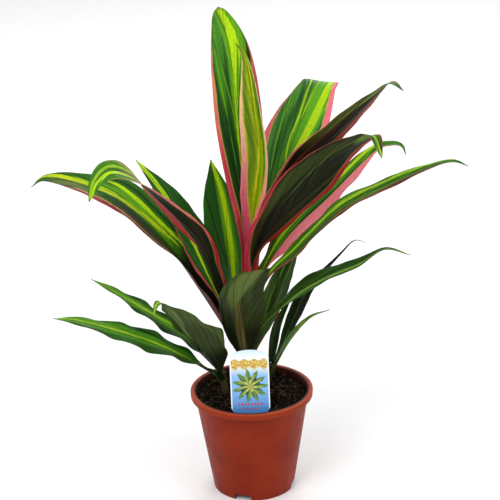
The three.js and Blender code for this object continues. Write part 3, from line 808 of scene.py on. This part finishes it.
def soil_skin(name, light):
    """Dark damp potting mix; "light" is the palest tone that a crumb can have."""
    r = Recipe(name, (7, 5, 3))
    place = r.place()
    clumps = r.noise(place, scale=240, detail=4)
    grit = r.noise(place, scale=1500, detail=4)
    shade = r.read("shade")
    r.lay((22, 15, 9), clumps, 0.35, 0.65)
    r.lay((50, 35, 22), grit, 0.56, 0.7, 0.4)
    r.lay(light, shade, 0.55, 1, 0.8)
    r.lay((5, 3, 2), shade, 0.3, 0, 0.8)
    r.bump(r.math("ADD", grit, clumps), 0.9 * MM)
    return r.finish(0.9, specular=0.06)


def add_soil():
    """A plug of potting mix with a rough top, loose crumbs and fine root fibres."""
    floor_top = POT.floor_underside + POT.floor_thickness + GAP
    low, high = (wall_radius(z) - POT.wall - GAP for z in (floor_top, SOIL_LEVEL))
    rings = [(high * f, SOIL_LEVEL) for f in np.linspace(1, 0, FINENESS.soil_rings)]
    points, faces = turned([(0, floor_top), (low, floor_top), *rings], FINENESS.soil)
    top = points[:, 2] > SOIL_LEVEL - 1
    points[top, 2] = [soil_height(x, y) for x, y, _ in points[top]]
    skin = soil_skin("potting_mix", (60, 42, 27))
    build("soil_bed", points, faces, skin, "soil", {"shade": np.full(len(points), 0.4)})
    add_loose("soil_crumbs", soil_skin("crumbs", (78, 56, 36)), crumbs())
    add_loose("soil_fibres", fibre_skin(), fibres())


def add_loose(name, skin, bits):
    """One piece of many bits, each with its points, as many as the others', faces and shade."""
    points, faces, shades = [], [], []
    for bit, sides, shade in bits:
        faces.append(sides + len(points) * len(bit))
        points.append(bit)
        shades.append(np.full(len(bit), shade))
    build(name, np.vstack(points), np.vstack(faces), skin, "soil",
          {"shade": np.concatenate(shades)})


def crumbs():
    """Bits of bark and peat: knobbly balls, most of them small."""
    ball = bmesh.new()
    bmesh.ops.create_icosphere(ball, subdivisions=2, radius=1)
    knobs = np.array([point.co for point in ball.verts])
    sides = np.array([[point.index for point in face.verts] for face in ball.faces])
    ball.free()
    for _ in range(CRUMBS.count):
        x, y = scattered(CRUMBS.reach)
        size = CRUMBS.small + (CRUMBS.large - CRUMBS.small) * rng.random() ** 4
        shape = knobs * rng.uniform(0.65, 1.3, (len(knobs), 1)) * rng.uniform(0.5, 1.2, 3) * size
        shape = shape @ np.array(Euler(rng.uniform(0, 6.3, 3)).to_matrix())
        yield shape + (x, y, soil_height(x, y) + size * 0.25), sides, rng.random()


def fibres():
    """Fine roots in loose arcs over the soil, kept within the pot."""
    for _ in range(FIBRES.count):
        x, y = scattered(FIBRES.reach)
        bend, sweep = rng.uniform(4, 15), rng.uniform(0.9, 3.2)
        start, thick = rng.random() * 6.3, rng.uniform(0.14, 0.34)
        curve = []
        for u in np.linspace(0, sweep, FIBRES.steps):
            a = x + bend * math.cos(start + u) + math.sin(3 * u)
            b = y + bend * math.sin(start + u)
            a, b = (c * min(1, FIBRES.limit / math.hypot(a, b)) for c in (a, b))
            curve.append((a, b, soil_height(a, b) + 0.4 + 0.9 * math.sin(u / sweep * 3.1)))
        points, faces = thread(np.array(curve), thick)
        yield points, faces, rng.random()


def thread(curve, thick, sides=6):
    """A closed fine tube along a curve, tapered to both ends."""
    ways = unit(np.gradient(curve, axis=0))
    across = unit(np.cross(ways, (0, 0, 1)))
    up = np.cross(across, ways)
    angles = np.arange(sides) * TURN / sides
    ends = np.sin(np.linspace(0.12, 0.93, len(curve)) * math.pi) ** 0.4 * thick
    rings = (curve[:, None] + across[:, None] * (np.cos(angles) * ends[:, None])[..., None]
             + up[:, None] * (np.sin(angles) * ends[:, None])[..., None])
    index = np.arange(len(curve) * sides).reshape(-1, sides)
    return rings.reshape(-1, 3), sheet(index, closed=True)


def fibre_skin():
    """Dry fine roots, straw to brown."""
    r = Recipe("root_fibre", (44, 31, 20))
    along_root = r.noise(r.place(), scale=500, detail=3)
    r.cover((112, 92, 64), r.read("shade"))
    r.lay((40, 28, 18), along_root, 0.4, 0.7)
    r.bump(along_root, 0.2 * MM, 0.6)
    return r.finish(0.8, specular=0.2)


def cane_skin():
    """Green-brown young bark, ringed by leaf scars."""
    r = Recipe("cane_bark", (50, 48, 22))
    place = r.place()
    x, y, z = r.split(place)
    streak = r.noise(r.vector(x, y, r.times(z, 0.12)), scale=900, detail=4)
    patches = r.noise(place, scale=90, detail=3)
    r.lay((66, 54, 30), patches, 0.35, 0.65)
    r.lay((36, 28, 16), streak, 0.45, 0.7, 0.6)
    r.lay((60, 40, 28), r.read("scar"), 0.35, 0.9, 0.8)
    r.bump(r.math("ADD", streak, patches), 0.4 * MM, 0.8)
    return r.finish(0.7, specular=0.15)


def add_canes():
    """Each cane with the raised rings that old leaves leave behind."""
    skin = cane_skin()
    sides, spacing = FINENESS.cane, 5.5
    for name, cane in CANES.items():
        foot, top = (cane_point(cane, height) for height in (CANE_FOOT, cane.height))
        length = np.linalg.norm(top - foot)
        heights = np.arange(0, length - 1, 0.6)
        taper = cane.radius + (cane.top_radius - cane.radius) * heights / length
        scar = np.clip(1 - np.abs((heights + 1.5) % spacing - spacing / 2) / 0.9, 0, 1)
        rings = np.stack([taper - 0.25 + 0.25 * scar, heights], axis=1)
        chamfer = (cane.top_radius - 1, length)
        profile = [(0, 0), *rings, chamfer, (0, length)]
        points, faces = turned(profile, sides)
        scars = np.concatenate([np.repeat(scar, sides), np.zeros(sides + 2)])
        lean = Vector((0, 0, 1)).rotation_difference(Vector(top - foot)).to_matrix()
        points = points @ np.array(lean).T + foot
        node = "cane_" + name
        build(node + "_bark", points, faces, skin, node, numbers={"scar": scars})


def label_skin():
    """Printed card: pale sky, a sand-coloured band, blue below, a leafy rosette, red dots."""
    r = Recipe("label_print", (88, 146, 212))
    u, v = r.read("u"), r.read("v")
    texture = r.noise(r.vector(u, v, 0), scale=0.5, detail=4)
    r.lay((132, 182, 232), v, 2, 40)
    r.lay((214, 226, 222), v, 38, 50)
    sand = r.mix(r.between(texture, 0.42, 0.6), (176, 128, 48), (238, 214, 120))
    sand = r.mix(r.between(texture, 0.56, 0.64), sand, (168, 172, 62))
    scallop = r.times(r.math("COSINE", r.times(u, 0.68)), 1.6)
    lower = r.math("SUBTRACT", v, r.math("ADD", scallop, 47.5))
    r.lay(sand, lower, -1.6, 1.6)
    upper = r.math("SUBTRACT", v, r.scaled(scallop, -0.6, 56.5))
    sky = r.mix(r.between(v, 56, 66), (236, 243, 250), (205, 224, 242))
    r.lay(sky, upper, -0.4, 0.4)

    # A rosette of three rings of leaves, the inner ones paler
    rise = r.math("SUBTRACT", v, 29)
    away = r.distance(u, rise)
    turn = r.math("ARCTAN2", rise, u)
    blotch = r.noise(r.vector(u, v, 3), scale=0.45, detail=3)
    for count, lag, reach, dark, pale in (
        (11, 0.0, 13.2, (26, 54, 40), (92, 134, 62)),
        (9, 1.2, 9.4, (50, 84, 42), (142, 168, 76)),
        (7, 2.1, 5.0, (110, 128, 50), (200, 194, 104)),
    ):
        petals = r.math("COSINE", r.scaled(turn, count, lag))
        ragged = r.scaled(blotch, 5, reach - 2.5)
        petal = r.math("SUBTRACT", r.scaled(petals, reach * 0.3, ragged), away)
        r.lay(r.mix(r.between(petals, -0.4, 1), dark, pale), petal, -0.5, 0.5)

    # Two rows of red dots near the foot
    for level, spacing, size, reach in ((10, 3.1, 1.1, 12.4), (5.4, 2.2, 0.7, 8.8)):
        step = r.math("SUBTRACT", r.math("FLOORED_MODULO", u, spacing), spacing / 2)
        far = r.distance(step, r.math("SUBTRACT", v, level))
        row = r.between(r.math("ABSOLUTE", u), reach + 0.1, reach)
        r.cover((196, 62, 46), r.times(r.between(far, size + 0.15, size - 0.15), row))
    r.lay((238, 243, 248), r.read("border"), 1.3, 0.9)
    r.colour = r.mix(r.read("front"), (240, 241, 240), r.colour)
    r.bump(texture, 0.04 * MM, 0.3)
    return r.finish(0.35, specular=0.4)


def add_label():
    """The card with its arched top, chamfered foot and stake; its edges are eased."""
    half, tall, arch = LABEL.width / 2, LABEL.height, LABEL.arch
    stake, deep = LABEL.stake_width / 2, LABEL.stake_depth
    chamfer_x, chamfer_z = LABEL.chamfer
    side = [(0, -deep), (stake, stake - deep), (stake, 0),
            (half - chamfer_x, 0), (half, chamfer_z)]
    arc = np.array([(half, tall - arch), (half * LABEL.shoulder, tall), (0, tall)])
    right = np.vstack([side, bent(*arc, 20)])
    outline = np.vstack([right, right[-2:0:-1] * (-1, 1)])
    ways = np.roll(outline, -1, axis=0) - np.roll(outline, 1, axis=0)
    outward = unit(np.stack([ways[:, 1], -ways[:, 0]], axis=1))
    thick, ease = LABEL.thickness / 2, 0.15
    rings = []
    for inset, depth in ((ease, -thick), (0, ease - thick), (0, thick - ease), (ease, thick)):
        flat = outline - outward * inset
        rings.append(np.stack([flat[:, 0], np.full(len(flat), depth), flat[:, 1]], axis=1))
    count = len(outline)
    faces = [tuple(range(count)), tuple(3 * count + k for k in reversed(range(count)))]
    faces += sheet(np.arange(4 * count).reshape(4, count), closed=True).tolist()
    points = np.vstack(rings)
    u, v = points[:, 0], points[:, 2]
    lean = np.array(Matrix.Rotation(math.radians(LABEL.lean), 3, "Y"))
    placed = points @ lean.T + (LABEL.foot[0], LABEL.foot[1], LABEL.bottom)
    numbers = {"u": u, "v": v, "border": half - np.abs(u), "front": points[:, 1] < 0}
    piece = build("label_card", placed, faces, label_skin(), "label", numbers)
    crisp(piece)


def leaf_skin(name, specular, dullness, contrast):
    """Paint for one face of every leaf, from the colours that its points carry: streaks
    along the veins, sharper bands, and coloured margins with a pale inner line."""
    r = Recipe(name, None)
    vein, reach = r.read("vein"), r.read("reach")
    light, shadow = r.read("light", "Color"), (124, 132, 112)
    streaks = r.vector(r.times(vein, 0.55), r.times(reach, 0.006), 0)
    fine = r.noise(streaks, detail=3)
    wide = r.noise(streaks, scale=0.3, detail=1)
    spots = r.noise(r.vector(vein, reach, 0), scale=0.25, detail=3)
    ragged = r.scaled(fine, 2.6, -1.3)

    r.colour = r.read("ground", "Color")
    r.lay(light, wide, 0.44, 0.62, 0.45 * contrast)
    r.lay(light, fine, 0.54, 0.68, 0.7 * contrast)
    r.lay(shadow, fine, 0.47, 0.3, contrast, "MULTIPLY")
    tint = r.mix(r.between(fine, 0.5, 0.34, 0, 0.45), r.read("tint", "Color"), light)
    r.lay(tint, r.math("ADD", r.read("band"), ragged), -0.5, 0.6)
    # Painted shade along the midrib, on both faces
    r.lay(shadow, r.read("rib"), 0.6, 0.1, 0.7, "MULTIPLY")

    edge = r.scaled(ragged, 0.7, r.read("edge"))
    margin = r.mix(r.between(fine, 0.45, 0.7, 0, 0.12), r.read("margin", "Color"), CREAM)
    margin = r.mix(r.between(fine, 0.45, 0.3, 0, 0.2), margin, MAROON)
    line = r.times(r.between(edge, -1.5, -0.6), r.read("margin", "Alpha"))
    r.cover((208, 176, 84), line)
    r.lay(margin, edge, -0.5, 0.4)
    r.lay((20, 30, 16), spots, 0.7, 0.3, 0.16)
    r.lay(DRY, r.read("share"), 0.985, 1.0, 0.8)

    ridges = r.math("SINE", r.times(vein, TURN / LEAF.vein_spacing))
    uneven = r.scaled(spots, 0.5, fine)
    r.bump(r.scaled(ridges, 0.12, uneven), 0.6 * MM, 0.5)
    return r.finish(r.between(fine, 0.3, 0.7, dullness + 0.06, dullness), specular)


def leaf_piece(leaf, number, skins):
    """A fine two-sided blade over the same midrib, widths, roll, fold and waves."""
    points, ways, reached = midrib(leaf)
    length = reached[-1]
    rows = int(length / LEAF.row)
    columns = 2 * int(np.clip(max(leaf.widths), *LEAF.columns))
    t = np.linspace(LEAF.start, 1, rows + 1)[:, None]
    reach = t * length
    centre, forward = (
        np.stack([np.interp(reach, reached, line[:, k]) for k in range(3)], axis=-1)
        for line in (points, ways)
    )
    forward = unit(forward)
    heading = math.radians(leaf.heads)
    side = np.array([-math.sin(heading), math.cos(heading), 0])
    side = unit(side - forward * (forward @ side)[..., None])
    roll = np.radians(along(leaf.roll, t))[..., None]
    side = side * np.cos(roll) + np.cross(forward, side) * np.sin(roll)
    up = np.cross(forward, side)

    fullness, point = leaf.tip
    half_width = along(leaf.widths, t) * (1 - t**fullness) ** point
    half_width = np.maximum(half_width, LEAF.tip_half_width)
    fold = np.radians(along(leaf.fold, t))
    swing = leaf.wave * np.minimum((1 - t) / LEAF.calm_tip, 1)
    across = np.linspace(-1, 1, columns + 1)[None, :]
    share = np.abs(across)
    phase = TURN * (leaf.waves * t + across * LEAF.wave_lag)
    lift = half_width * share * np.sin(fold) + swing * share**2 * np.sin(phase)
    flutter = np.sin(TURN * (LEAF.flutters * t + number / 2 + across))
    lift = lift + LEAF.flutter * share**4 * flutter * np.minimum(half_width / 12, 1)
    middle = (centre + side * (half_width * across * np.cos(fold))[..., None]
              + up * lift[..., None])
    tilt = np.sin(fold) * np.tanh(across * half_width / 1.5)
    outward = up * np.cos(fold)[..., None] - side * tilt[..., None]

    # The midrib is a groove above and a ridge below; the blade thins out at its edges
    rib = share * half_width
    stalk = np.maximum(1 - t / LEAF.petiole_share, 0)
    extra = (LEAF.petiole_thickness - LEAF.thickness) * stalk * (1 - share)
    thin = np.sqrt(1 - share**6) * np.sqrt(1 - t**40) * (t > t[0])
    half = (LEAF.thickness + extra) / 2 * thin
    groove = 0.3 * np.exp(-((rib / 0.9) ** 2)) * thin
    ridge = 0.6 * (1 - t) ** 0.6 * np.exp(-((rib / 1.2) ** 2)) * thin
    top = middle + outward * (half - groove)[..., None]
    bottom = middle - outward * (half + ridge)[..., None]

    inner = np.s_[1:-1, 1:-1]
    shape = (rows + 1, columns + 1)
    upper = np.arange(shape[0] * shape[1]).reshape(shape)
    lower = upper.copy()
    lower[inner] = upper.size + np.arange((rows - 1) * (columns - 1)).reshape(rows - 1, -1)
    faces = np.vstack([sheet(upper), sheet(lower)[:, (0, 3, 2, 1)]])

    def both(over, below):
        """Values of the upper sheet, then those inside the lower one."""
        size = over.shape[-1]
        over, below = (np.broadcast_to(values, (*shape, size)) for values in (over, below))
        return np.concatenate([over.reshape(-1, size), below[inner].reshape(-1, size)])

    spots = (np.broadcast_to(t, shape), np.broadcast_to(across, shape), half_width)
    bands = [bands_over(areas, *spots) for areas in (leaf.bands, leaf.back_bands)]
    grounds, streaks = [], []
    for tones, areas in ((leaf.blade, leaf.wash), (leaf.back, leaf.back_wash)):
        deep, light = (linear(tone) for tone in tones)
        grounds.append(washed(deep, areas, *spots))
        streaks.append(light * np.clip(grounds[-1] / deep, 0, 1.3))
    left, right = ((along(widths, t), shades_along(shades, t))
                   for widths, shades in (leaf.left, leaf.right))
    breadth = np.where(across > 0, left[0], right[0])
    margin = np.where((across > 0)[..., None], left[1], right[1])
    margin[..., 3] = np.clip(breadth / 1.5 - 1, 0, 0.75)
    duller = margin * (1 - UNDER_DULL) + linear(RED) * UNDER_DULL
    duller[..., 3] = margin[..., 3] * UNDER_DULL
    drift = rib - LEAF.vein_slope * reach + LEAF.vein_offset * (across > 0)
    alike = {
        "vein": drift + 2 * LEAF.vein_offset * number,
        "reach": reach,
        "share": t,
        "rib": rib,
        "edge": np.where(breadth > 0.2, breadth - (1 - share) * half_width, OUTSIDE),
    }
    numbers = {key: both(values[..., None], values[..., None]) for key, values in alike.items()}
    numbers["band"] = both(*(depth[..., None] for depth, _ in bands))
    colours = {
        "ground": both(*grounds),
        "light": both(*streaks),
        "tint": both(*(tint for _, tint in bands)),
        "margin": both(margin, duller),
    }
    build(leaf.name + "_blade", both(top, bottom), faces, skins, leaf.name,
          numbers, colours)


add_pot()
add_soil()
add_canes()
add_label()
leaf_faces = (
    leaf_skin("leaf_upper", specular=0.14, dullness=0.36, contrast=0.85),
    leaf_skin("leaf_lower", specular=0.06, dullness=0.5, contrast=0.9),
)
for number, leaf in enumerate(LEAVES):
    leaf_piece(leaf, number, leaf_faces)


# Floor, light and camera
FLOOR_WIDTH = 16000
CAMERA = Values(aim=(2.2, 0, 247.75), distance=1600, elevation=20.96, roll=-1.609, lens=121.44)


def add_floor():
    """A plain pale floor that fills the view."""
    half = FLOOR_WIDTH / 2
    corners = [(-half, -half, 0), (half, -half, 0), (half, half, 0), (-half, half, 0)]
    floor = new_object("floor", corners, [(0, 1, 2, 3)])
    r = Recipe("floor_paper", (246, 246, 246))
    r.cover((250, 250, 250), r.noise(r.place(), scale=60))
    floor.data.materials.append(r.finish(0.9, specular=0.1))
    floor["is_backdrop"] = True


def add_light(name, place, aim, size, watts):
    """A square soft box that faces its aim; lengths in metres."""
    data = bpy.data.lights.new(name, "AREA")
    data.shape = "SQUARE"
    data.size = size
    data.energy = watts
    lamp = bpy.data.objects.new(name, data)
    lamp.location = place
    way = np.array(aim) - np.array(place)
    lamp.rotation_euler = Vector(way).to_track_quat("-Z", "Y").to_euler()
    link(lamp)


def add_camera():
    """The photograph's view: from in front and above, through a long lens."""
    tilt = math.radians(CAMERA.elevation)
    back = np.array([0, -math.cos(tilt), math.sin(tilt)])
    data = bpy.data.cameras.new("camera")
    data.lens = CAMERA.lens
    camera = bpy.data.objects.new("camera", data)
    place = (np.array(CAMERA.aim) + back * CAMERA.distance) * MM
    turn = Euler((math.pi / 2 - tilt, 0, 0)).to_matrix()
    roll = Matrix.Rotation(math.radians(CAMERA.roll), 3, "Z")
    camera.matrix_world = Matrix.Translation(place) @ (turn @ roll).to_4x4()
    link(camera)
    bpy.context.scene.camera = camera


add_floor()
add_light("key", (-1.2, -1.8, 2.2), aim=(0, 0, 0.25), size=1.4, watts=34)
add_light("fill", (1.8, -1.4, 1.2), aim=(0, 0, 0.25), size=1.2, watts=12)
add_light("rear", (0.3, 1.6, 1.8), aim=(0, 0, 0.3), size=1.2, watts=16)
world = bpy.data.worlds.new("studio")
world.use_nodes = True
background = world.node_tree.nodes["Background"]
background.inputs["Color"].default_value = (1, 1, 1, 1)
background.inputs["Strength"].default_value = 0.75
bpy.context.scene.world = world
bpy.context.scene.view_settings.view_transform = "Standard"
add_camera()

dressed_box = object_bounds()
boxes = {"solids": solid_box, "dressed": dressed_box}
{key: [list(map(float, corner)) for corner in box] for key, box in boxes.items()}
